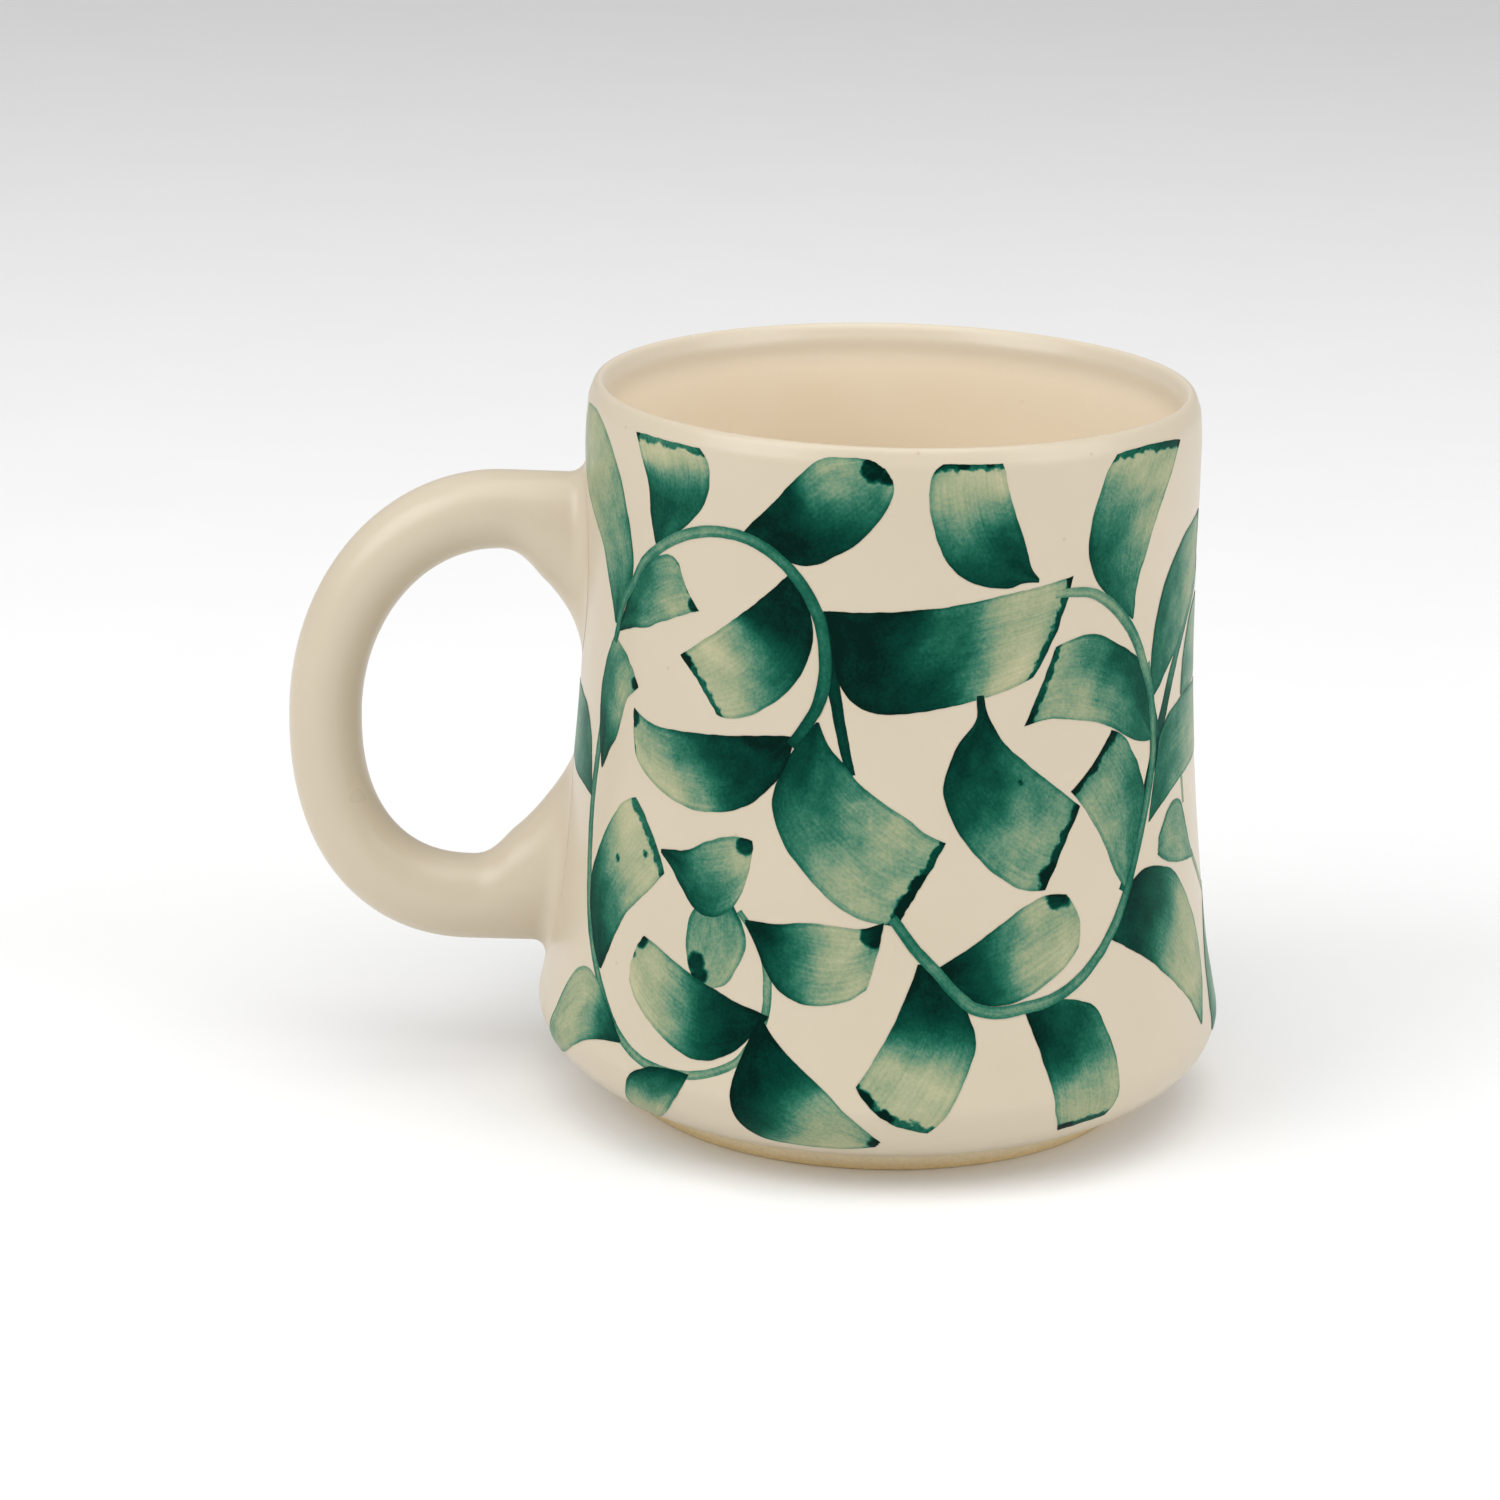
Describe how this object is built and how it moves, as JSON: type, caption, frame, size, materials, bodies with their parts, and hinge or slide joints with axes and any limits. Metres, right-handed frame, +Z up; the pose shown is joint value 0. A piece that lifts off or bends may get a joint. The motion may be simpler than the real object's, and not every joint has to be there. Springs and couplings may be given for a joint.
{
  "type": "stoneware mug",
  "caption": "Waisted stoneware mug on a turned foot ring, with a round pulled handle, glazed over free brush-painted leaves and vines.",
  "frame": {"origin": "centre of the flat foot ring that the mug stands on", "axes": "+Z up along the cup's axis; the handle points along -X; +Y is away from the painted front"},
  "size_m": [0.1311, 0.0958, 0.101],
  "materials": {
    "buff_stoneware": "bare fired buff clay, finely turned",
    "buff_slip": "fired slip of the same clay",
    "cream_glaze": "satin cream glaze",
    "honey_glaze": "satin cream glaze over warm clay, reads honey inside",
    "green_underglaze": "brushed green pigment under glaze, pale sage to near black"
  },
  "bodies": {
    "root": {"cup_body": "buff_stoneware", "handle": "buff_stoneware", "upper_handle_joint": "buff_slip", "lower_handle_joint": "buff_slip", "outside_glaze": "cream_glaze", "handle_glaze": "cream_glaze", "inside_glaze": "honey_glaze", "underside_glaze": "cream_glaze"}
  },
  "joints": []
}
